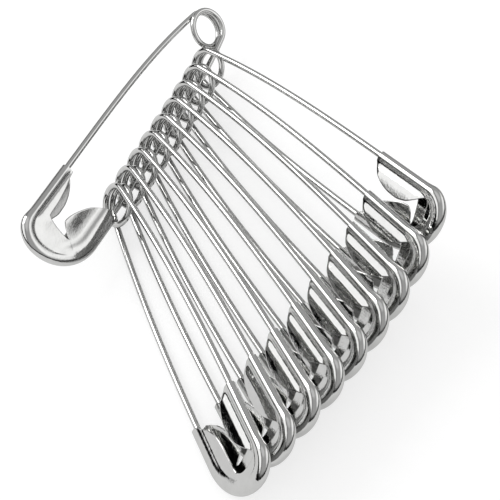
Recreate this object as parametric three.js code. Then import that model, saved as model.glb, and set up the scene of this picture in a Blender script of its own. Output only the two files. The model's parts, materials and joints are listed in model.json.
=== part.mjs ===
// A bunch of ten closed wire safety pins, lying on a table.
// One pin is the carrier: its needle leg runs through the coils of the other nine,
// which fan out to one side. Every pin is the same product: one bent wire with a
// fixed spine leg, a coil of one and a half turns and a sharp needle leg, and one
// folded sheet guard, the cap, closed on the spine leg and open for the needle.
// Millimetres, +Z up. The origin is at the bottom centre of the whole bunch.

import * as THREE from 'three';
import { mergeVertices } from 'three/addons/utils/BufferGeometryUtils.js';

// Driving sizes of one pin
const pinLength = 49.8;
const wireDiameter = 0.85;
const coilOuterDiameter = 6.1;
const coilStrandGap = 0.42;
const legSplayDegrees = 10;
const nodeGap = 0.3;

const capLength = 12.5;
const capWidth = 10.7;
const sheetThickness = 0.22;
const wireClearance = 0.2;
const capApexOffset = 1.5;
const spineCornerDepth = 3.3;
const needleCornerDepth = 6.8;
const creaseInset = 0.95;
const creaseHalfGap = 0.16;
const leafDip = 0.05;
const leafEdgeDrop = 0.13;

const spineInCap = 8.4;
const needleInCap = 8;
const needleTaper = 3.4;
const needleTipDiameter = 0.1;

// Driving sizes and angles of the bunch
const carrierSetback = 5.2;
const capSetback = 1.8;
const threadPitch = 3.4;
const needleHeight = 3.3;
const carrierAzimuthDegrees = -113.7;
const carrierRollDegrees = 45;
const lastPinAzimuthDegrees = -50;
const firstPinAzimuthDegrees = -67;
const pinLeanDegrees = 60;
const pinRiseDegrees = 2.6;
const lastPinExtraRiseDegrees = 7.4;
const extraRiseFadeShare = 0.45;

// Resolution
const wireSides = 6;
const coilSteps = 26;
const legSteps = 6;
const capLegSteps = 3;
const rimSteps = 4;

// Sizes that follow
const degree = Math.PI / 180;
const wireRadius = wireDiameter / 2;
const coilOuterRadius = coilOuterDiameter / 2;
const coilRadius = coilOuterRadius - wireRadius;
const legSplay = legSplayDegrees * degree;
const coilWrap = 3 * Math.PI - 2 * legSplay;
const coilRisePerTurn = wireDiameter + coilStrandGap;
const coilHalfHeight = coilRisePerTurn * coilWrap / (2 * Math.PI) / 2;
const coilHalfThickness = coilHalfHeight + wireRadius;
const capEnd = pinLength - coilOuterRadius;
const mouth = capEnd - capLength;
const channelRadius = wireRadius + wireClearance;
const rimRadius = channelRadius + sheetThickness;
const armOffset = capWidth / 2 - rimRadius;
const spineSide = 1;
const needleSide = -1;

// As many pins hang on the carrier's needle leg as fit between its coil and its cap
const threadRoom = mouth - carrierSetback - capSetback;
const pinCount = Math.floor(threadRoom / threadPitch) + 1;

const steel = { color: 0xc9ccd0, metalness: 1 };
const capMaterial = new THREE.MeshStandardMaterial({ ...steel, roughness: 0.14 });
const wireMaterial = new THREE.MeshStandardMaterial({ ...steel, roughness: 0.2 });

// A round wire along a curve, with flat ends
function wireAlong(curve, steps) {
  const section = new THREE.Shape();
  for (let side = 0; side < wireSides; side += 1) {
    const angle = side / wireSides * 2 * Math.PI;
    const x = wireRadius * Math.cos(angle);
    const y = wireRadius * Math.sin(angle);
    if (side === 0) {
      section.moveTo(x, y);
    } else {
      section.lineTo(x, y);
    }
  }
  return new THREE.ExtrudeGeometry(section, { extrudePath: curve, steps, curveSegments: 1 });
}

// The coil's centre line, from the spine leg's tangent point at the front
// to the needle leg's tangent point at the back
class CoilCurve extends THREE.Curve {
  getPoint(share, target = new THREE.Vector3()) {
    const trim = nodeGap / 2 / coilRadius;
    const angle = trim + share * (coilWrap - 2 * trim);
    const around = Math.PI / 2 + legSplay + angle;
    const height = coilHalfHeight * (1 - 2 * angle / coilWrap);
    return target.set(coilRadius * Math.cos(around), coilRadius * Math.sin(around), height);
  }
}

// Least clear gap between the turns of the coil, measured on points of its centre line
function leastCoilGap() {
  const points = new CoilCurve().getSpacedPoints(coilSteps * rimSteps);
  const halfTurn = Math.round(points.length * Math.PI / coilWrap);
  let least = Infinity;
  points.forEach((point, index) => {
    points.slice(index + halfTurn).forEach((other) => {
      least = Math.min(least, point.distanceTo(other) - wireDiameter);
    });
  });
  return least;
}

// A leg's centre line from the coil to where it enters the cap, bowed outward
function legBow(side) {
  const direction = new THREE.Vector3(Math.cos(legSplay), side * Math.sin(legSplay), 0);
  const tangentPoint = new THREE.Vector3(
    -coilRadius * Math.sin(legSplay),
    side * coilRadius * Math.cos(legSplay),
    side * coilHalfHeight,
  );
  const start = tangentPoint.clone().addScaledVector(direction, nodeGap / 2);
  const end = new THREE.Vector3(mouth, side * armOffset, 0);
  const third = start.distanceTo(end) / 3;
  const leave = start.clone().addScaledVector(direction, third);
  const arrive = end.clone().add(new THREE.Vector3(-third, 0, 0));
  return new THREE.CubicBezierCurve3(start, leave, arrive, end);
}

// The whole leg: the bow, then the straight stretch inside the cap
function legCurve(side, lengthInCap) {
  const curve = new THREE.CurvePath();
  const enter = new THREE.Vector3(mouth, side * armOffset, 0);
  const end = new THREE.Vector3(mouth + lengthInCap, side * armOffset, 0);
  curve.add(legBow(side));
  curve.add(new THREE.LineCurve3(enter, end));
  return curve;
}

function spineGeometry() {
  return wireAlong(legCurve(spineSide, spineInCap), legSteps + capLegSteps);
}

// The needle leg, drawn to a point over its last stretch
function needleGeometry() {
  const geometry = wireAlong(legCurve(needleSide, needleInCap), legSteps + capLegSteps);
  const tip = mouth + needleInCap;
  const axisY = needleSide * armOffset;
  const tipShare = needleTipDiameter / wireDiameter;
  const position = geometry.attributes.position;
  for (let index = 0; index < position.count; index += 1) {
    const toTip = tip - position.getX(index);
    const narrow = toTip < needleTaper ? Math.max(tipShare, toTip / needleTaper) : 1;
    position.setY(index, axisY + (position.getY(index) - axisY) * narrow);
    position.setZ(index, position.getZ(index) * narrow);
  }
  return geometry;
}

function coilGeometry() {
  return wireAlong(new CoilCurve(), coilSteps);
}

// The cap's fold line, which the channel follows from the spine's mouth to the needle's
function foldLine() {
  const spineDepth = spineCornerDepth - rimRadius;
  const spineHeight = armOffset - capApexOffset;
  const needleDepth = needleCornerDepth - rimRadius;
  const needleHeightInCap = armOffset + capApexOffset;
  const apex = capEnd - rimRadius;
  const path = new THREE.CurvePath();
  const spineStart = new THREE.Vector2(mouth, armOffset);
  const spineBend = new THREE.Vector2(apex - spineDepth, armOffset);
  const needleBend = new THREE.Vector2(apex - needleDepth, -armOffset);
  const needleEnd = new THREE.Vector2(mouth, -armOffset);
  path.add(new THREE.LineCurve(spineStart, spineBend));
  path.add(new THREE.EllipseCurve(spineBend.x, capApexOffset, spineDepth, spineHeight, Math.PI / 2, 0, true));
  path.add(new THREE.EllipseCurve(needleBend.x, capApexOffset, needleDepth, needleHeightInCap, 0, -Math.PI / 2, true));
  path.add(new THREE.LineCurve(needleBend, needleEnd));
  return path;
}

// The free edges of the two leaves, and how far the spine arm's crease is pressed in. Each
// row holds a place along the fold as a share of its length, the front edge and the back
// edge as shares of the cap's length and of the arms' offset, and the crease's share. The
// front has a large leaf on the spine arm. The back has a large one on the needle arm,
// parted by a slot from the broad back of the end.
const edgeShares = [
  [0, 0, 0.89, 0, 0.84, 0],
  [0.02, 0.046, 0.66, 0.046, 0.81, 0.6],
  [0.05, 0.114, 0.5, 0.114, 0.77, 1],
  [0.09, 0.206, 0.38, 0.206, 0.71, 1],
  [0.13, 0.3, 0.32, 0.3, 0.67, 1],
  [0.175, 0.4, 0.31, 0.4, 0.64, 1],
  [0.225, 0.515, 0.39, 0.51, 0.63, 1],
  [0.26, 0.6, 0.54, 0.57, 0.61, 0.8],
  [0.29, 0.68, 0.72, 0.59, 0.53, 0.4],
  [0.32, 0.73, 0.8, 0.6, 0.45, 0.1],
  [0.385, 0.77, 0.65, 0.61, 0.35, 0],
  [0.47, 0.785, 0.34, 0.62, 0.2, 0],
  [0.525, 0.78, 0.09, 0.625, 0.08, 0],
  [0.575, 0.75, -0.11, 0.63, -0.07, 0],
  [0.62, 0.71, -0.2, 0.63, -0.2, 0],
  [0.656, 0.66, -0.22, 0.61, -0.34, 0],
  [0.692, 0.62, -0.22, 0.54, 0.04, 0],
  [0.735, 0.55, -0.22, 0.495, 0.12, 0],
  [0.8, 0.45, -0.22, 0.425, 0.09, 0],
  [0.845, 0.352, -0.25, 0.352, 0.02, 0],
  [0.89, 0.25, -0.33, 0.25, -0.12, 0],
  [0.935, 0.15, -0.5, 0.15, -0.3, 0],
  [0.97, 0.07, -0.71, 0.07, -0.54, 0],
  [1, 0, -0.9, 0, -0.82, 0],
];

// The outer and inner line of one leaf's sheet, from the fold to the free edge: distance
// along the leaf and height from the mid plane
function leafProfile(reach, creaseShare) {
  const pressed = creaseShare * THREE.MathUtils.clamp((reach - wireDiameter) / wireDiameter, 0, 1);
  const creaseAt = Math.min(creaseInset, reach / 2);
  const creaseHeight = THREE.MathUtils.lerp(rimRadius, creaseHalfGap + sheetThickness, pressed);
  return [
    [creaseAt, creaseHeight],
    [(creaseAt + reach) / 2, rimRadius - leafDip],
    [reach, rimRadius - leafEdgeDrop],
  ];
}

// The outer and inner outline of the folded sheet at one row: from the front edge round
// the fold to the back edge, and back inside
function sheetSection(path, row) {
  const [place, frontX, frontY, backX, backY, creaseShare] = row;
  const centre = path.getPointAt(place);
  const tangent = path.getTangentAt(place);
  const inward = new THREE.Vector2(tangent.y, -tangent.x);
  const leaf = (alongShare, acrossShare, side) => {
    const edge = new THREE.Vector2(mouth + capLength * alongShare, armOffset * acrossShare);
    const reach = edge.distanceTo(centre);
    const direction = edge.sub(centre).normalize();
    return leafProfile(reach, creaseShare).map(([distance, height]) => {
      const at = centre.clone().addScaledVector(direction, distance);
      const innerHeight = height - sheetThickness;
      return [[at.x, at.y, side * height], [at.x, at.y, side * innerHeight]];
    });
  };
  const fold = [];
  for (let step = 0; step <= rimSteps; step += 1) {
    const angle = Math.PI / 2 + Math.PI * step / rimSteps;
    fold.push([rimRadius, channelRadius].map((radius) => {
      const at = centre.clone().addScaledVector(inward, radius * Math.cos(angle));
      return [at.x, at.y, radius * Math.sin(angle)];
    }));
  }
  const front = leaf(frontX, frontY, 1).reverse();
  const back = leaf(backX, backY, -1);
  const sheet = [...front, ...fold, ...back];
  const outer = sheet.map(([point]) => point);
  const inner = sheet.map(([, point]) => point);
  return outer.concat(inner.reverse());
}

// The folded sheet: sections along the fold line, joined and closed at both mouths
function capGeometry() {
  const path = foldLine();
  const sections = edgeShares.map((row) => sheetSection(path, row));
  const positions = sections.flat(2);
  const faces = [];
  const count = sections[0].length;
  for (let row = 0; row < sections.length - 1; row += 1) {
    for (let column = 0; column < count; column += 1) {
      const next = (column + 1) % count;
      const a = row * count + column;
      const b = row * count + next;
      const c = a + count;
      const d = b + count;
      faces.push(a, d, b, a, c, d);
    }
  }
  const last = (sections.length - 1) * count;
  for (let column = 0; column < count / 2 - 1; column += 1) {
    const opposite = count - 1 - column;
    faces.push(column, column + 1, opposite, column + 1, opposite - 1, opposite);
    const near = last + column;
    const far = last + opposite;
    faces.push(near, far, near + 1, near + 1, far, far - 1);
  }
  const geometry = new THREE.BufferGeometry();
  geometry.setAttribute('position', new THREE.Float32BufferAttribute(positions, 3));
  geometry.setIndex(faces);
  return geometry;
}

function closedMesh(name, geometry, material) {
  geometry.deleteAttribute('normal');
  geometry.deleteAttribute('uv');
  const mesh = new THREE.Mesh(mergeVertices(geometry), material);
  mesh.geometry.computeVertexNormals();
  mesh.name = name;
  return mesh;
}

// One pin in its own frame: x from the coil's centre to the cap, y across to the
// spine leg, z out of its front
function pinGroup(name, frame) {
  const group = new THREE.Group();
  group.add(closedMesh(`${name}_cap`, capGeometry(), capMaterial));
  group.add(closedMesh(`${name}_spine`, spineGeometry(), wireMaterial));
  group.add(closedMesh(`${name}_coil`, coilGeometry(), wireMaterial));
  group.add(closedMesh(`${name}_needle`, needleGeometry(), wireMaterial));
  group.position.copy(frame.position);
  group.quaternion.setFromRotationMatrix(frame.rotation);
  return group;
}

const up = new THREE.Vector3(0, 0, 1);

// The carrier lies with its needle leg level and its spine leg raised beside it
function carrierFrame() {
  const azimuth = carrierAzimuthDegrees * degree;
  const roll = carrierRollDegrees * degree;
  const along = new THREE.Vector3(Math.cos(azimuth), Math.sin(azimuth), 0);
  const aside = new THREE.Vector3(Math.sin(azimuth), -Math.cos(azimuth), 0);
  const outward = aside.clone().multiplyScalar(Math.cos(roll)).addScaledVector(up, Math.sin(roll));
  const taper = Math.atan2(armOffset - coilRadius, mouth);
  const axis = along.clone().multiplyScalar(Math.cos(taper)).addScaledVector(outward, Math.sin(taper));
  const across = outward.clone().multiplyScalar(Math.cos(taper)).addScaledVector(along, -Math.sin(taper));
  const front = new THREE.Vector3().crossVectors(axis, across);
  const position = outward.clone().multiplyScalar(coilRadius).addScaledVector(up, needleHeight);
  return { position, rotation: new THREE.Matrix4().makeBasis(axis, across, front) };
}

// The point of the carrier's needle leg at a distance from its coil, in the bunch's frame
function threadPoint(carrier, distance) {
  const bow = legBow(needleSide);
  let low = 0;
  let high = 1;
  while (high - low > 1e-6) {
    const middle = (low + high) / 2;
    if (bow.getPoint(middle).x < distance) {
      low = middle;
    } else {
      high = middle;
    }
  }
  return bow.getPoint(low).applyMatrix4(carrier.rotation).add(carrier.position);
}

// A hanging pin leans back from the carrier's needle, with its coil and cap on the table
function hangingFrame(carrier, order) {
  const share = order / Math.max(1, pinCount - 1);
  const turn = firstPinAzimuthDegrees - lastPinAzimuthDegrees;
  const azimuth = (lastPinAzimuthDegrees + turn * share) * degree;
  const extraRise = lastPinExtraRiseDegrees * extraRiseFadeShare ** order;
  const rise = (pinRiseDegrees + extraRise) * degree;
  const lean = pinLeanDegrees * degree;
  const level = new THREE.Vector3(-Math.sin(azimuth), Math.cos(azimuth), 0);
  const axis = new THREE.Vector3(Math.cos(azimuth), Math.sin(azimuth), 0);
  axis.multiplyScalar(Math.cos(rise)).addScaledVector(up, Math.sin(rise));
  const upright = new THREE.Vector3().crossVectors(axis, level).normalize();
  const across = level.clone().multiplyScalar(Math.cos(lean)).addScaledVector(upright, Math.sin(lean));
  const front = new THREE.Vector3().crossVectors(axis, across);
  const position = threadPoint(carrier, carrierSetback + threadPitch * order);
  position.z = coilOuterRadius * Math.sin(lean) + coilHalfThickness * Math.cos(lean);
  return { position, rotation: new THREE.Matrix4().makeBasis(axis, across, front) };
}

console.log('least gap between the turns of a coil:', leastCoilGap().toFixed(3), 'mm');

const bunch = new THREE.Group();
const carrier = carrierFrame();
bunch.add(pinGroup('carrier', carrier));
for (let number = 1; number <= pinCount; number += 1) {
  bunch.add(pinGroup(`pin_${number}`, hangingFrame(carrier, pinCount - number)));
}
const box = new THREE.Box3().setFromObject(bunch, true);
const middle = box.getCenter(new THREE.Vector3());
bunch.position.set(-middle.x, -middle.y, -box.min.z);
bunch.updateMatrixWorld(true);

export default bunch;
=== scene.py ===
# %% [markdown]
# A bunch of ten safety pins
#
# Ten closed wire pins lie on a white table. One of them, the carrier, has its needle leg
# pushed through the coils of the other nine, which fan out beside it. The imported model
# gives every piece its place. Here each piece gets its fine surface and its nickel.

# %% The frame
import json
import bpy
import numpy as np
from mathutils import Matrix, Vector


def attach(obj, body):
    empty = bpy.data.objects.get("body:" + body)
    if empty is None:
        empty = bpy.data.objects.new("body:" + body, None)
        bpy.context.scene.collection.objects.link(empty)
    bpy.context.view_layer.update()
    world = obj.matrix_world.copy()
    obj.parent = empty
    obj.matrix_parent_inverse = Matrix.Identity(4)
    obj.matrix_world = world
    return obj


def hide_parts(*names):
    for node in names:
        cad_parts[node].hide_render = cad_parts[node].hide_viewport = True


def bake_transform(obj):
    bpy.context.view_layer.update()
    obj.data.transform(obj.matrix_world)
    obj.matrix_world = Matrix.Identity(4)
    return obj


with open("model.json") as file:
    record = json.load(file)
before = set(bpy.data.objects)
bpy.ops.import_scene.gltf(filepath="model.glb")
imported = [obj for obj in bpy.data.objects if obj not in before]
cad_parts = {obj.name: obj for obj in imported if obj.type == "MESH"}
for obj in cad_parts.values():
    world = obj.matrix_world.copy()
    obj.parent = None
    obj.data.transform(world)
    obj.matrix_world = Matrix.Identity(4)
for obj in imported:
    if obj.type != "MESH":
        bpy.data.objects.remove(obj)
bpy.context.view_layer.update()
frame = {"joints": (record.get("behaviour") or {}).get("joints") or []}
scene = bpy.context.scene
mm = 0.001

# %% [markdown]
# The camera looks down on the bunch from the front, so the pins run away from it towards
# the top of the picture. It is made first, because everything is judged through it. A
# long lens from two hands' breadth away keeps the far coils nearly as large as the near
# caps, as they are in the photograph.

# %% Camera
camera_elevation = np.radians(55.6)
camera_distance = 180 * mm
camera_target = Vector((2.4 * mm, -3 * mm, 4 * mm))
camera_lens = 98.5

camera = bpy.data.objects.new("camera", bpy.data.cameras.new("camera"))
scene.collection.objects.link(camera)
toward_camera = Vector((0, -np.cos(camera_elevation), np.sin(camera_elevation)))
camera.location = camera_target + toward_camera * camera_distance
camera.rotation_euler = toward_camera.to_track_quat("Z", "Y").to_euler()
camera.data.lens = camera_lens
camera.data.sensor_width = 36
camera.data.clip_start = 0.01
camera.data.clip_end = 20
scene.camera = camera
print("camera at", [round(c, 4) for c in camera.location])

# %% [markdown]
# A safety pin is one wire and one folded sheet. The wire has a stiff spine leg, a coil of
# one and a half turns and a springy needle leg. These are the sizes that the solid model
# was built with, so that every surface lies on its solid.

# %% Sizes of one pin
pin_length = 49.8 * mm
wire_diameter = 0.85 * mm
coil_outer_diameter = 6.1 * mm
coil_strand_gap = 0.1 * mm
leg_splay = np.radians(10)

cap_length = 12.5 * mm
cap_width = 10.7 * mm
sheet_thickness = 0.22 * mm
wire_clearance = 0.2 * mm
cap_apex_offset = 1.5 * mm
spine_corner_depth = 3.3 * mm
needle_corner_depth = 6.8 * mm

spine_in_cap = 8.4 * mm
needle_in_cap = 8 * mm
needle_taper = 3.4 * mm
needle_tip_diameter = 0.1 * mm

wire_radius = wire_diameter / 2
coil_radius = coil_outer_diameter / 2 - wire_radius
cap_end = pin_length - coil_outer_diameter / 2
mouth = cap_end - cap_length
rim_radius = wire_radius + wire_clearance + sheet_thickness
arm_offset = cap_width / 2 - rim_radius
coil_wrap = 3 * np.pi - 2 * leg_splay
print("legs", round(2 * arm_offset / mm, 2), "mm apart in the cap")

# %% [markdown]
# Each pin has its own frame: x runs from the middle of its coil to its cap, y across to
# the spine leg, and z out of its front. The needle's joint turns about the coil, so the
# packed joint already gives the middle and, turned round, the z direction. The direction
# of x comes from how the bunch lies: the carrier leans on its needle leg, and the other
# nine fan out in steps, each a little nearer to the carrier's cap.

# %% Pin frames
pin_count = 9
carrier_azimuth = np.radians(-113.7)
carrier_roll = np.radians(45)
last_pin_azimuth = np.radians(-50)
first_pin_azimuth = np.radians(-67)
pin_rise = np.radians(2.6)
last_pin_extra_rise = np.radians(7.4)
extra_rise_fade = 0.45
joints = {joint["name"]: joint for joint in frame["joints"]}


def carrier_direction():
    """Along the level needle leg, tipped by the leg's taper towards the raised spine leg."""
    along = np.array([np.cos(carrier_azimuth), np.sin(carrier_azimuth), 0])
    aside = np.array([np.sin(carrier_azimuth), -np.cos(carrier_azimuth), 0])
    outward = np.cos(carrier_roll) * aside + np.sin(carrier_roll) * np.array([0, 0, 1])
    taper = np.arctan2(arm_offset - coil_radius, mouth)
    return np.cos(taper) * along + np.sin(taper) * outward


def pin_direction(number):
    """The fan's azimuth for this pin, and its rise from the coil on the table to the cap."""
    order = pin_count - number
    turned = (first_pin_azimuth - last_pin_azimuth) * order / (pin_count - 1)
    azimuth = last_pin_azimuth + turned
    rise = pin_rise + last_pin_extra_rise * extra_rise_fade ** order
    return np.array([np.cos(azimuth) * np.cos(rise), np.sin(azimuth) * np.cos(rise), np.sin(rise)])


def pin_frame(name, direction):
    """The coil's middle, and the three directions of a pin as the rows of a matrix."""
    joint = joints[f"{name}_open"]
    front = -np.array(joint["axis"])
    front = front / np.linalg.norm(front)
    along = direction - front * (direction @ front)
    along = along / np.linalg.norm(along)
    return np.array(joint["pos_m"]), np.array([along, np.cross(front, along), front])


names = ["carrier"] + [f"pin_{number}" for number in range(1, pin_count + 1)]
frames = {"carrier": pin_frame("carrier", carrier_direction())}
for number in range(1, pin_count + 1):
    frames[f"pin_{number}"] = pin_frame(f"pin_{number}", pin_direction(number))


def placed(points, name):
    """Points in a pin's own frame, taken to the table."""
    middle, directions = frames[name]
    return points @ directions + middle


for name in names:
    print(name, "coil at", np.round(frames[name][0] / mm, 2))

# %% [markdown]
# Every piece here is a grid of points: rows that run along it, and columns that go round
# it. One function turns such a grid into a mesh, keeps its rows and columns as a UV map
# in metres, and closes its two ends. A wire is the simplest such grid: circles along a
# line. A curve with a round bevel could make it too, but then its mesh and UV map would
# be out of reach.

# %% Mesh from a grid
sharp_angle = np.radians(50)
wire_sides = 28


def surface(name, points, along, around, ends):
    """Quads between neighbouring rows and columns, the last column joined to the first.
    ends holds the faces that close the first and the last row, as places in a row."""
    rows, columns = points.shape[:2]
    row, column = np.meshgrid(np.arange(rows - 1), np.arange(columns), indexing="ij")
    following = (column + 1) % columns
    corners = (row * columns + column, row * columns + following,
               (row + 1) * columns + following, (row + 1) * columns + column)
    quads = np.stack(corners, -1).reshape(-1, 4)
    u = np.stack([along[row], along[row], along[row + 1], along[row + 1]], -1)
    v = np.stack([around[column], around[column + 1], around[column + 1], around[column]], -1)
    faces = quads.tolist()
    faces += [face[::-1] for face in ends]
    faces += [[(rows - 1) * columns + corner for corner in face] for face in ends]
    mesh = bpy.data.meshes.new(name)
    mesh.from_pydata(points.reshape(-1, 3), [], faces)
    uv = np.zeros((len(mesh.loops), 2), np.float32)
    uv[:u.size] = np.stack([u, v], -1).reshape(-1, 2)
    mesh.uv_layers.new(name="lengths").data.foreach_set("uv", uv.ravel())
    mesh.polygons.foreach_set("use_smooth", np.ones(len(mesh.polygons), bool))
    mesh.set_sharp_from_angle(angle=sharp_angle)
    mesh.validate()
    made = bpy.data.objects.new(name, mesh)
    scene.collection.objects.link(made)
    return made


def swept(name, pin, line, radius):
    """A round wire: circles of the given radii, square to a centre line, rows along it.
    Each circle starts from the part of the pin's z direction that is square to the line."""
    tangent = np.gradient(line, axis=0)
    tangent /= np.linalg.norm(tangent, axis=1, keepdims=True)
    lift = np.array([0, 0, 1]) - tangent * tangent[:, 2:]
    lift /= np.linalg.norm(lift, axis=1, keepdims=True)
    side = np.cross(lift, tangent)
    angle = np.linspace(0, 2 * np.pi, wire_sides, endpoint=False)[None, :, None]
    circle = np.cos(angle) * lift[:, None] + np.sin(angle) * side[:, None]
    points = line[:, None] + circle * radius[:, None, None]
    step = np.linalg.norm(np.diff(line, axis=0), axis=1)
    along = np.concatenate([[0], np.cumsum(step)])
    around = np.linspace(0, 2 * np.pi * wire_radius, wire_sides + 1)
    return surface(name, placed(points, pin), along, around, [list(range(wire_sides))])


print("wires have", wire_sides, "sides")

# %% [markdown]
# The coil is a helix whose ends level out, so that it runs into the two legs without a
# kink. Its turns lie almost against each other. The solid model leaves a wider gap there,
# because two solids need one.

# %% Coil line
coil_rings = 200


def levelled(share):
    """A rise from 0 to 1 that starts and ends level: the share less its sine."""
    return share - np.sin(2 * np.pi * share) / (2 * np.pi)


turn_share = 2 * np.pi / coil_wrap
coil_half_height = (wire_diameter + coil_strand_gap) / levelled(turn_share) / 2


def coil_line():
    """Round the coil's middle by the wrap angle. The height falls from front to back, and
    is level at both ends."""
    share = np.linspace(0, 1, coil_rings)
    angle = np.pi / 2 + leg_splay + coil_wrap * share
    height = coil_half_height * (1 - 2 * levelled(share))
    return np.stack([coil_radius * np.cos(angle), coil_radius * np.sin(angle), height], 1)


print("coil", round((2 * coil_half_height + wire_diameter) / mm, 2), "mm thick")

# %% [markdown]
# Each leg leaves the coil along its tangent and bows a little outward, because the closed
# pin is under spring load, and then it runs straight inside the cap. The needle leg is
# ground to a point at its end.

# %% Leg lines
bow_rings = 70
straight_rings = 24


def leg_line(side, length_in_cap):
    """A cubic Bezier curve with even thirds from the tangent point to the mouth of the
    cap, then a straight stretch. side is 1 for the spine leg and -1 for the needle leg."""
    leaving = np.array([np.cos(leg_splay), side * np.sin(leg_splay), 0])
    start = np.array([-coil_radius * np.sin(leg_splay), side * coil_radius * np.cos(leg_splay),
                      side * coil_half_height])
    end = np.array([mouth, side * arm_offset, 0])
    third = np.linalg.norm(end - start) / 3
    t = np.linspace(0, 1, bow_rings)[:, None]
    bow = ((1 - t) ** 3 * start + 3 * (1 - t) ** 2 * t * (start + third * leaving)
           + 3 * (1 - t) * t ** 2 * (end - np.array([third, 0, 0])) + t ** 3 * end)
    inside = np.linspace(0, length_in_cap, straight_rings)[1:, None] * np.array([1, 0, 0])
    return np.concatenate([bow, end + inside])


def needle_radius(line):
    """Full to the ground stretch, then falling evenly to the tip."""
    to_tip = line[-1, 0] - line[:, 0]
    share = np.clip(to_tip / needle_taper, needle_tip_diameter / wire_diameter, 1)
    return wire_radius * share


coil_path = coil_line()
spine_path = leg_line(1, spine_in_cap)
needle_path = leg_line(-1, needle_in_cap)
needle_steps = np.linalg.norm(np.diff(needle_path, axis=0), axis=1)
print("needle leg", round(needle_steps.sum() / mm, 1), "mm")

# %% [markdown]
# The cap is one strip of sheet, folded double round a curved line. The fold is a round
# channel that holds both legs. From the fold a front and a back leaf reach inward: as a
# broad lobe on each arm and as a narrow band round the end. On the spine arm the leaves
# are crimped together beside the wire, so that the leg can't pull out.

# %% Fold line of the cap
fold_steps = 400


def ellipse(middle, width, height, first, last, count):
    """Points of an ellipse between two angles: from its middle, the cosine of the angle
    times the half width, and its sine times the half height."""
    angle = np.linspace(first, last, count)
    return np.stack([middle[0] + width * np.cos(angle), middle[1] + height * np.sin(angle)], 1)


def fold_line():
    """Straight along the spine arm, a quarter ellipse round each corner, and straight back
    along the needle arm. Gives the length so far, the points and the inward directions."""
    apex = cap_end - rim_radius
    spine_depth = spine_corner_depth - rim_radius
    needle_depth = needle_corner_depth - rim_radius
    spine_bend = (apex - spine_depth, cap_apex_offset)
    needle_bend = (apex - needle_depth, cap_apex_offset)
    first = np.linspace((mouth, arm_offset), (spine_bend[0], arm_offset), fold_steps,
                        endpoint=False)
    spine_corner = ellipse(spine_bend, spine_depth, arm_offset - cap_apex_offset,
                           np.pi / 2, 0, fold_steps)[:-1]
    needle_corner = ellipse(needle_bend, needle_depth, arm_offset + cap_apex_offset,
                            0, -np.pi / 2, fold_steps)[:-1]
    last = np.linspace((needle_bend[0], -arm_offset), (mouth, -arm_offset), fold_steps)
    points = np.concatenate([first, spine_corner, needle_corner, last])
    length = np.concatenate([[0], np.cumsum(np.linalg.norm(np.diff(points, axis=0), axis=1))])
    tangent = np.gradient(points, length, axis=0)
    tangent /= np.linalg.norm(tangent, axis=1, keepdims=True)
    return length, points, np.stack([tangent[:, 1], -tangent[:, 0]], 1)


fold_length, fold_points, fold_inward = fold_line()
print("fold line", round(fold_length[-1] / mm, 2), "mm long")

# %% [markdown]
# The two leaves end in free edges. On the front the spine arm has a large leaf and the
# needle arm a middling one. On the back the spine arm has a narrow leaf, and the needle
# arm a large one that keeps the needle from slipping through. A slot parts it from the
# broad back of the end. Each row below holds a place along the fold as a share of its
# length, and then the free edge that belongs to it, on the front and on the back: how far
# in from the mouth, as a share of the cap's length, and how far to the side, as a share
# of an arm's distance from the middle.

# %% Free edges of the cap
edge_shares = np.array([
    (0, 0, 0.89, 0, 0.84),
    (0.02, 0.046, 0.66, 0.046, 0.81),
    (0.05, 0.114, 0.5, 0.114, 0.77),
    (0.09, 0.206, 0.38, 0.206, 0.71),
    (0.13, 0.3, 0.32, 0.3, 0.67),
    (0.175, 0.4, 0.31, 0.4, 0.64),
    (0.225, 0.515, 0.39, 0.51, 0.63),
    (0.26, 0.6, 0.54, 0.57, 0.61),
    (0.29, 0.68, 0.72, 0.59, 0.53),
    (0.32, 0.73, 0.8, 0.6, 0.45),
    (0.385, 0.77, 0.65, 0.61, 0.35),
    (0.47, 0.785, 0.34, 0.62, 0.2),
    (0.525, 0.78, 0.09, 0.625, 0.08),
    (0.575, 0.75, -0.11, 0.63, -0.07),
    (0.62, 0.71, -0.2, 0.63, -0.2),
    (0.656, 0.66, -0.22, 0.61, -0.34),
    (0.692, 0.62, -0.22, 0.54, 0.04),
    (0.735, 0.55, -0.22, 0.495, 0.12),
    (0.8, 0.45, -0.22, 0.425, 0.09),
    (0.845, 0.352, -0.25, 0.352, 0.02),
    (0.89, 0.25, -0.33, 0.25, -0.12),
    (0.935, 0.15, -0.5, 0.15, -0.3),
    (0.97, 0.07, -0.71, 0.07, -0.54),
    (1, 0, -0.9, 0, -0.82),
])


def through(at, knots, values):
    """A smooth curve through values at knots, which never overshoots them. Its slope at an
    inner knot is the harmonic mean of the two beside it, or level where they differ in sign."""
    width = np.diff(knots)
    rate = np.diff(values) / width
    product = rate[:-1] * rate[1:]
    total = rate[:-1] + rate[1:]
    inner = np.where(product > 0, 2 * product / np.where(product > 0, total, 1), 0)
    slope = np.concatenate([rate[:1], inner, rate[-1:]])
    place = np.clip(np.searchsorted(knots, at, "right") - 1, 0, len(width) - 1)
    share = np.clip((at - knots[place]) / width[place], 0, 1)
    step = width[place]
    keep = (1 + 2 * share) * (1 - share) ** 2
    turn = share ** 2 * (3 - 2 * share)
    leave = share * (1 - share) ** 2 * step
    arrive = share ** 2 * (share - 1) * step
    return (keep * values[place] + turn * values[place + 1]
            + leave * slope[place] + arrive * slope[place + 1])


def free_edge(place, side):
    """Points of the free edge in the pin's plane, on smooth curves through the shares
    above. side is 0 for the front, 1 for the back."""
    share = place / fold_length[-1]
    x = through(share, edge_shares[:, 0], edge_shares[:, 1 + 2 * side])
    y = through(share, edge_shares[:, 0], edge_shares[:, 2 + 2 * side])
    return np.stack([mouth + cap_length * x, arm_offset * y], -1)


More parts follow.
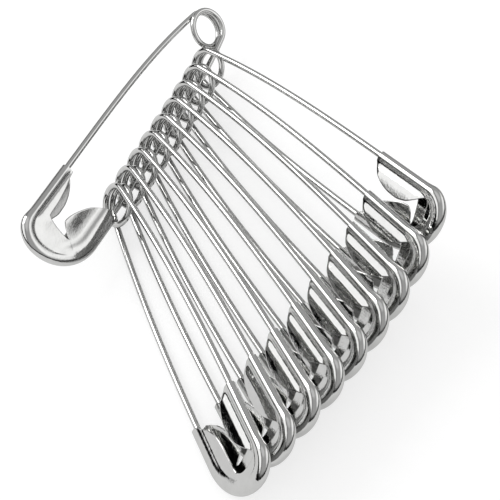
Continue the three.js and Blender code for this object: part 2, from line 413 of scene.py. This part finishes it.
halfway = np.array([fold_length[-1] / 2])
for side, leaf_name in enumerate(("front", "back")):
    print(leaf_name, "free edge halfway round, mm", np.round(free_edge(halfway, side)[0] / mm, 1))

# %% [markdown]
# Across a leaf the sheet has a height that changes with the distance from the fold. The
# spine arm is crimped: its sheet dips at once into a shallow crease, and then rises,
# steeply at first and flatter towards its free edge. The needle arm has a broad rounded
# back, then falls into a shallow dish. The end is a rounded band that falls into a groove
# on the front, and a flat face behind a narrow step on the back. Each pair below is a
# distance from the fold and the height there, in millimetres. The first height is the
# radius of the channel. Between these parts the heights blend.

# %% Heights of the leaves
spine_front_heights = np.array([
    (0, 0.555), (0.3, 0.5), (0.5, 0.42), (0.6, 0.42), (1.6, 0.69), (2.3, 0.77), (3.4, 0.83)])
spine_back_heights = np.array([(0, 0.555), (0.3, 0.5), (0.62, 0.3), (0.9, 0.42), (1.7, 0.5)])
band_front_heights = np.array([(0, 0.735), (0.4, 0.7), (0.8, 0.55), (1.2, 0.45), (2, 0.45)])
band_back_heights = np.array([
    (0, 0.735), (0.35, 0.7), (0.6, 0.53), (0.85, 0.5), (2, 0.53), (4, 0.5)])
needle_front_heights = np.array([
    (0, 0.735), (0.5, 0.74), (1, 0.66), (1.5, 0.52), (2, 0.47), (2.8, 0.52), (3.6, 0.6)])
needle_back_heights = np.array([
    (0, 0.735), (0.8, 0.8), (1.2, 0.76), (1.9, 0.56), (2.3, 0.5), (4.6, 0.7)])
crimped_radius = 0.555 * mm
open_radius = rim_radius - sheet_thickness / 2
uncrimped_slope = 0.02
crimp_run_in = 1.2 * mm
flare_start = 0.9 * mm

notch_pitch = 1.45 * mm
notch_width = 0.09 * mm
notch_depth = 0.025 * mm
notch_inward = 0.75 * mm
notch_reach = 0.22 * mm

spine_arm_end = 10 * mm
spine_arm_fade = 2.4 * mm
needle_arm_start = 15.5 * mm
needle_arm_fade = 4 * mm


def smooth_step(value):
    """0 below 0, 1 above 1, and between them three times the square less twice the cube,
    which is level at both ends."""
    share = np.clip(value, 0, 1)
    return share * share * (3 - 2 * share)


def spine_weight(place):
    """1 on the crimped arm, falling to 0 round the corner after it."""
    return smooth_step((spine_arm_end - place) / spine_arm_fade)


def needle_weight(place):
    """1 on the needle arm, falling to 0 towards the end of the cap."""
    return smooth_step((place - needle_arm_start) / needle_arm_fade)


def fold_radius(place):
    """Radius of the middle of the sheet round the channel: the open one, drawn towards the
    crimped one by the weight of the spine arm."""
    return open_radius + (crimped_radius - open_radius) * spine_weight(place)


def leaf_height(place, inward, side, flare):
    """Height of the middle of the sheet above the pin's middle plane, for the front or the
    back leaf. The three heights at this distance from the fold are weighed against each
    other. flare bends the spine arm's front leaf outward by this slope. The notches are
    bell curves at even steps along the arm."""
    spine_heights, band_heights, needle_heights = (
        (spine_front_heights, band_front_heights, needle_front_heights),
        (spine_back_heights, band_back_heights, needle_back_heights))[side]
    spine, band, needle = (through(inward, heights[:, 0] * mm, heights[:, 1] * mm)
                           for heights in (spine_heights, band_heights, needle_heights))
    flat = crimped_radius - uncrimped_slope * inward
    crimp = smooth_step(place / crimp_run_in)
    spine = flat + (spine - flat) * crimp
    spine = spine + flare * np.clip(inward - flare_start, 0, None) * crimp * (1 - side)
    beat = (place / notch_pitch) % 1 * notch_pitch - notch_pitch / 2
    across = (inward - notch_inward) / notch_reach
    notch = np.exp(-(beat / notch_width) ** 2) * np.exp(-across ** 2)
    spine = spine - notch_depth * notch * crimp
    height = band + (spine - band) * spine_weight(place)
    return height + (needle - height) * needle_weight(place)


print("the sheet's middle is", round(2 * open_radius / mm, 2), "mm wide round the channel,",
      "crimped to", round(2 * crimped_radius / mm, 2), "mm")

# %% [markdown]
# The sheet has a thickness, so the section is offset by half of it to both sides, and the
# free edges are rounded. A Solidify modifier could do this, but it would leave the edges
# square. The rows are closest together along the crimped arm, where the tool left small
# notches, and at the slot.

# %% Cap surface
leaf_columns = 34
rim_columns = 26
edge_columns = 5
measured_row = 60


def leaf(place, centre, side, flare):
    """The middle of the sheet from the fold to a free edge, without the point on the fold:
    even steps along a straight line in the pin's plane, raised by the leaf's height."""
    edge = free_edge(place, side)
    reach = np.linalg.norm(edge - centre, axis=1)[:, None]
    share = np.linspace(0, 1, leaf_columns + 1)[None, 1:]
    flat = centre[:, None] + (edge - centre)[:, None] * share[..., None]
    height = leaf_height(place[:, None], reach * share, side, flare) * (1 - 2 * side)
    return np.concatenate([flat, height[..., None]], -1)


def section(place, flare):
    """The middle of the folded sheet at each place: the front leaf from its edge to the
    fold, half a circle round the channel, and the back leaf."""
    centre, inward = (
        np.stack([np.interp(place, fold_length, line[:, axis]) for axis in (0, 1)], 1)
        for line in (fold_points, fold_inward))
    angle = np.linspace(np.pi / 2, 3 * np.pi / 2, rim_columns)[None, :, None]
    radius = fold_radius(place)[:, None, None]
    flat = centre[:, None] + inward[:, None] * radius * np.cos(angle)
    fold = np.concatenate([flat, radius * np.sin(angle) + 0 * flat[..., :1]], -1)
    front_leaf = leaf(place, centre, 0, flare)[:, ::-1]
    back_leaf = leaf(place, centre, 1, flare)
    return np.concatenate([front_leaf, fold, back_leaf], 1)


def sheet_outline(middle):
    """Both faces of the sheet, half its thickness out from its middle along the normal,
    which is square to the rows and the columns. Half circles join them at the edges."""
    across = np.gradient(middle, axis=1)
    across /= np.linalg.norm(across, axis=2, keepdims=True)
    outward = np.cross(np.gradient(middle, axis=0), across)
    outward /= np.linalg.norm(outward, axis=2, keepdims=True)
    half = sheet_thickness / 2
    turn = np.linspace(0, np.pi, edge_columns + 2)[1:-1, None]
    around = np.cos(turn) * outward[:, -1:] + np.sin(turn) * across[:, -1:]
    last_edge = middle[:, -1:] + half * around
    around = np.cos(turn) * outward[:, :1] + np.sin(turn) * across[:, :1]
    first_edge = middle[:, :1] - half * around
    outer = middle + half * outward
    inner = (middle - half * outward)[:, ::-1]
    return np.concatenate([outer, last_edge, inner, first_edge], 1)


def cap_places():
    """Places along the fold line, closest along the crimped arm and at the slot."""
    total = fold_length[-1]
    stops = np.array([0, 0.32, 0.65, 0.7, 1]) * total
    counts = (120, 90, 24, 80)
    runs = [np.linspace(first, last, count, endpoint=False)
            for first, last, count in zip(stops[:-1], stops[1:], counts)]
    return np.concatenate(runs + [[total]])


def cap_surface(name, pin, flare):
    """The sheet's outline at all places, with both mouths closed by strips from the outer
    to the inner face, and by the two rounds of the free edges. The UV map's columns are
    measured round one row."""
    place = cap_places()
    points = sheet_outline(section(place, flare))
    measured = points[measured_row]
    step = np.linalg.norm(np.diff(measured, axis=0, append=measured[:1]), axis=1)
    around = np.concatenate([[0], np.cumsum(step)])
    columns = points.shape[1]
    middle_columns = 2 * leaf_columns + rim_columns
    opposite = columns - edge_columns - 1
    strips = [[column, column + 1, opposite - 1 - column, opposite - column]
              for column in range(middle_columns - 1)]
    last_round = list(range(middle_columns - 1, middle_columns + edge_columns + 1))
    first_round = list(range(opposite, columns)) + [0]
    return surface(name, placed(points, pin), place, around, strips + [last_round, first_round])


print("cap grid", len(cap_places()), "rows")

# %% [markdown]
# The wire and the sheet are steel with a bright plating of nickel, which is a little
# warmer and darker than silver. It is polished but not perfect: the drawn wire has fine
# lines along it, and the pressed sheet has scuffs and faint marks of its tool across it.
# A single colour and roughness would look like a toy's chrome, so three noises change the
# tone, the gloss and the smallest bumps.

# %% Nickel
nickel_colour = (0.74, 0.74, 0.73)
dull_share = 0.9
cloud_scale = 900
line_scale = 1000
dent_scale = 3200
noise_low = 0.35
noise_high = 0.65
even = (1, 1, 1)


def link(tree, source, output, target, socket):
    """From a node's named output to another node's named input."""
    tree.links.new(source.outputs[output], target.inputs[socket])


def grain(tree, vector, scale, stretch, detail):
    """Noise on a vector that is stretched by the three factors."""
    mapping = tree.nodes.new("ShaderNodeMapping")
    mapping.inputs["Scale"].default_value = stretch
    tree.links.new(vector, mapping.inputs["Vector"])
    noise = tree.nodes.new("ShaderNodeTexNoise")
    noise.inputs["Scale"].default_value = scale
    noise.inputs["Detail"].default_value = detail
    link(tree, mapping, "Vector", noise, "Vector")
    return noise


def spread(tree, source, low, high):
    """The middle stretch of a noise's values, widened to run from low to high."""
    node = tree.nodes.new("ShaderNodeMapRange")
    node.inputs["From Min"].default_value = noise_low
    node.inputs["From Max"].default_value = noise_high
    node.inputs["To Min"].default_value = low
    node.inputs["To Max"].default_value = high
    link(tree, source, "Fac", node, "Value")
    return node


def bumped(tree, noise, depth):
    """A noise as a bump of this depth."""
    node = tree.nodes.new("ShaderNodeBump")
    node.inputs["Distance"].default_value = depth
    link(tree, noise, "Fac", node, "Height")
    return node


def nickel(name, rough, line_stretch, line_depth, dent_depth):
    """Bright metal: colour and roughness from a cloudy noise, a bump of fine lines on the
    UV map and a second bump of shallow dents on Object coordinates."""
    material = bpy.data.materials.new(name)
    material.use_nodes = True
    tree = material.node_tree
    shader = tree.nodes["Principled BSDF"]
    shader.inputs["Metallic"].default_value = 1
    places = tree.nodes.new("ShaderNodeTexCoord")
    cloud = grain(tree, places.outputs["Object"], cloud_scale, even, 3)
    roughness = spread(tree, cloud, *rough)
    link(tree, roughness, "Result", shader, "Roughness")
    tint = tree.nodes.new("ShaderNodeMix")
    tint.data_type = "RGBA"
    tint.inputs["A"].default_value = (*nickel_colour, 1)
    tint.inputs["B"].default_value = (*[dull_share * c for c in nickel_colour], 1)
    link(tree, cloud, "Fac", tint, "Factor")
    link(tree, tint, "Result", shader, "Base Color")
    lines = bumped(tree, grain(tree, places.outputs["UV"], line_scale, line_stretch, 2), line_depth)
    dents = bumped(tree, grain(tree, places.outputs["Object"], dent_scale, even, 2), dent_depth)
    link(tree, lines, "Normal", dents, "Normal")
    link(tree, dents, "Normal", shader, "Normal")
    return material


sheet_nickel = nickel("pressed nickel sheet", rough=(0.05, 0.13), line_stretch=(6, 0.5, 1),
                      line_depth=0.003 * mm, dent_depth=0.009 * mm)
wire_nickel = nickel("drawn nickel wire", rough=(0.06, 0.14), line_stretch=(0.15, 5, 1),
                     line_depth=0.003 * mm, dent_depth=0.002 * mm)
print("finishes", sheet_nickel.name, "and", wire_nickel.name)

# %% [markdown]
# Now the pins are made, all alike but for one thing: the large front leaf of each cap is
# bent outward, or inward, by its own share of a small slope, because in the photograph
# some of these leaves are light and some dark. The spine leg, the coil and the cap ride on
# the pin's own body. The needle leg swings about the coil when the pin is opened, but here
# its piece is only set in place and rides on no body.

# %% Pins
flare_slope = 0.12
flare_shares = (0.3, 0.8, -0.6, 0.4, 0.2, 0.2, 0.6, 0, -0.1, 0.8)
leaf_flares = {name: flare_slope * share for name, share in zip(names, flare_shares)}


def make_pin(name):
    """The four pieces of one pin, each standing for one node of the solid model."""
    coil = swept(f"coil_of_{name}", name, coil_path, np.full(coil_rings, wire_radius))
    spine = swept(f"spine_of_{name}", name, spine_path, np.full(len(spine_path), wire_radius))
    needle = swept(f"needle_of_{name}", name, needle_path, needle_radius(needle_path))
    cap = cap_surface(f"guard_of_{name}", name, leaf_flares[name])
    for piece, node in ((coil, "coil"), (spine, "spine"), (cap, "cap")):
        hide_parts(f"{name}_{node}")
        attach(piece, name)
    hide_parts(f"{name}_needle")
    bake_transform(needle)
    for piece in (coil, spine, needle):
        piece.data.materials.append(wire_nickel)
    cap.data.materials.append(sheet_nickel)
    return [coil, spine, needle, cap]


pieces = [piece for name in names for piece in make_pin(name)]
triangles = sum(len(piece.data.loops) - 2 * len(piece.data.polygons) for piece in pieces)
print(len(pieces), "pieces,", triangles, "triangles")

# %% [markdown]
# The room and the floor each work out how bright they are from a few numbers, so first
# come three small helpers for that.

# %% Helpers for light
first_reflection = 1.5


def feed(tree, value, socket):
    """A number sets the socket. Another node's output is linked to it."""
    if isinstance(value, bpy.types.NodeSocket):
        tree.links.new(value, socket)
    else:
        socket.default_value = value


def combined(tree, operation, first, second):
    """Two values through one Math node, such as their product or the greater of them."""
    node = tree.nodes.new("ShaderNodeMath")
    node.operation = operation
    feed(tree, first, node.inputs[0])
    feed(tree, second, node.inputs[1])
    return node.outputs["Value"]


def mixed(tree, factor, first, second):
    """A value between two others: the first at factor 0, the second at factor 1."""
    node = tree.nodes.new("ShaderNodeMix")
    node.data_type = "FLOAT"
    for socket, value in (("Factor", factor), ("A", first), ("B", second)):
        feed(tree, value, node.inputs[socket])
    return node.outputs["Result"]


print("glossy depths under", first_reflection, "are first reflections")

# %% [markdown]
# The pins lie on a plain white sheet, lit evenly from below as on a photographer's light
# table. A part of its white is the paper, which takes the pins' soft shadows, and the
# rest is its own glow. Only the camera and the mirror rays of the metal see the glow. The
# mirror rays see a share of it, and only in a first reflection, so that the hollows
# between the wires stay dark.

# %% Floor
floor_half = 0.09
paper_grey = 0.44
glow_share = 0.62
mirrored_share = 0.55

floor_mesh = bpy.data.meshes.new("floor")
floor_corners = [(-floor_half, -floor_half, 0), (floor_half, -floor_half, 0),
                 (floor_half, floor_half, 0), (-floor_half, floor_half, 0)]
floor_mesh.from_pydata(floor_corners, [], [(0, 1, 2, 3)])
floor = bpy.data.objects.new("floor", floor_mesh)
scene.collection.objects.link(floor)
floor_white = bpy.data.materials.new("white paper")
floor_white.use_nodes = True
floor_tree = floor_white.node_tree
paper = floor_tree.nodes["Principled BSDF"]
paper.inputs["Base Color"].default_value = (paper_grey, paper_grey, paper_grey, 1)
paper.inputs["Roughness"].default_value = 0.9
paper.inputs["Emission Color"].default_value = (1, 1, 1, 1)
seen = floor_tree.nodes.new("ShaderNodeLightPath").outputs
mirrored = combined(floor_tree, "MULTIPLY", seen["Is Glossy Ray"], mirrored_share)
either = combined(floor_tree, "MAXIMUM", seen["Is Camera Ray"], mirrored)
once = combined(floor_tree, "LESS_THAN", seen["Glossy Depth"], first_reflection)
direct = combined(floor_tree, "MULTIPLY", either, once)
glowing = combined(floor_tree, "MULTIPLY", direct, glow_share)
feed(floor_tree, glowing, paper.inputs["Emission Strength"])
floor_mesh.materials.append(floor_white)
print("floor", 2 * floor_half, "m wide")

# %% [markdown]
# Bright metal has no colour of its own: it shows the room. The reflections on the wires
# give the room away: white to the upper left and the upper right, a weak glow overhead,
# grey between them, and black at the far left. All of it darkens towards the horizon. A
# reflection within a reflection keeps only a part of this light, so that the places where
# wires lie close together stay dark. Only mirror rays see this room. The camera sees
# white, and all other light comes evenly from every side.

# %% World
room_white = 1.25
even_light = 0.8
second_share = 0.3

world = bpy.data.worlds.new("room")
scene.world = world
world.use_nodes = True
room_tree = world.node_tree
room_tree.nodes.clear()
direction = room_tree.nodes.new("ShaderNodeTexCoord")
split = room_tree.nodes.new("ShaderNodeSeparateXYZ")
link(room_tree, direction, "Generated", split, "Vector")


def band(part, low, high, first, last):
    """A smooth change from first to last as one part of the direction goes from low to high."""
    node = room_tree.nodes.new("ShaderNodeMapRange")
    node.interpolation_type = "SMOOTHSTEP"
    for socket, value in (("From Min", low), ("From Max", high), ("To Min", first), ("To Max", last)):
        node.inputs[socket].default_value = value
    link(room_tree, split, part, node, "Value")
    return node.outputs["Result"]


left_glow = combined(room_tree, "MULTIPLY", band("X", -0.45, -0.72, 0, 1), band("Z", 0.14, 0.26, 0, 1))
right_glow = combined(room_tree, "MULTIPLY", band("X", 0.6, 0.85, 0, 1), band("Z", 0.2, 0.38, 0, 0.95))
top_glow = band("Z", 0.85, 0.97, 0, 0.3)
side_glow = combined(room_tree, "MAXIMUM", left_glow, right_glow)
glow = combined(room_tree, "MAXIMUM", side_glow, top_glow)
grey = combined(room_tree, "ADD", band("X", -0.7, -0.2, 0.004, 0.32), band("X", 0.5, 0.9, 0, 0.16))
lifted = combined(room_tree, "MULTIPLY", grey, band("Z", 0, 0.25, 0.1, 1.3))
room = mixed(room_tree, glow, lifted, room_white)
rays = room_tree.nodes.new("ShaderNodeLightPath").outputs
near = combined(room_tree, "LESS_THAN", rays["Glossy Depth"], first_reflection)
kept = mixed(room_tree, near, second_share, 1)
reflected = combined(room_tree, "MULTIPLY", room, kept)
lighting = mixed(room_tree, rays["Is Glossy Ray"], even_light, reflected)
background = room_tree.nodes.new("ShaderNodeBackground")
background.inputs["Color"].default_value = (1, 1, 1, 1)
feed(room_tree, mixed(room_tree, rays["Is Camera Ray"], lighting, 1), background.inputs["Strength"])
world_out = room_tree.nodes.new("ShaderNodeOutputWorld")
link(room_tree, background, "Background", world_out, "Surface")
print("room white", room_white, "and even light", even_light)

# %% [markdown]
# One soft lamp, rather low at the upper left, adds the brightest line along each wire and
# the soft shadows under the pins. Its light is as wide as a sheet of paper, because a
# small lamp would make hard shadows and a point instead of a line.

# %% Lamp
lamp_width = 0.2
lamp_power = 0.5
lamp_place = Vector((-0.25, 0.13, 0.22))
lamp = bpy.data.objects.new("soft lamp", bpy.data.lights.new("soft lamp", "AREA"))
lamp.data.shape = "SQUARE"
lamp.data.size = lamp_width
lamp.data.energy = lamp_power
lamp.location = lamp_place
lamp.rotation_euler = lamp_place.to_track_quat("Z", "Y").to_euler()
scene.collection.objects.link(lamp)
scene.view_settings.view_transform = "Standard"
print("lamp", lamp.data.energy, "W")
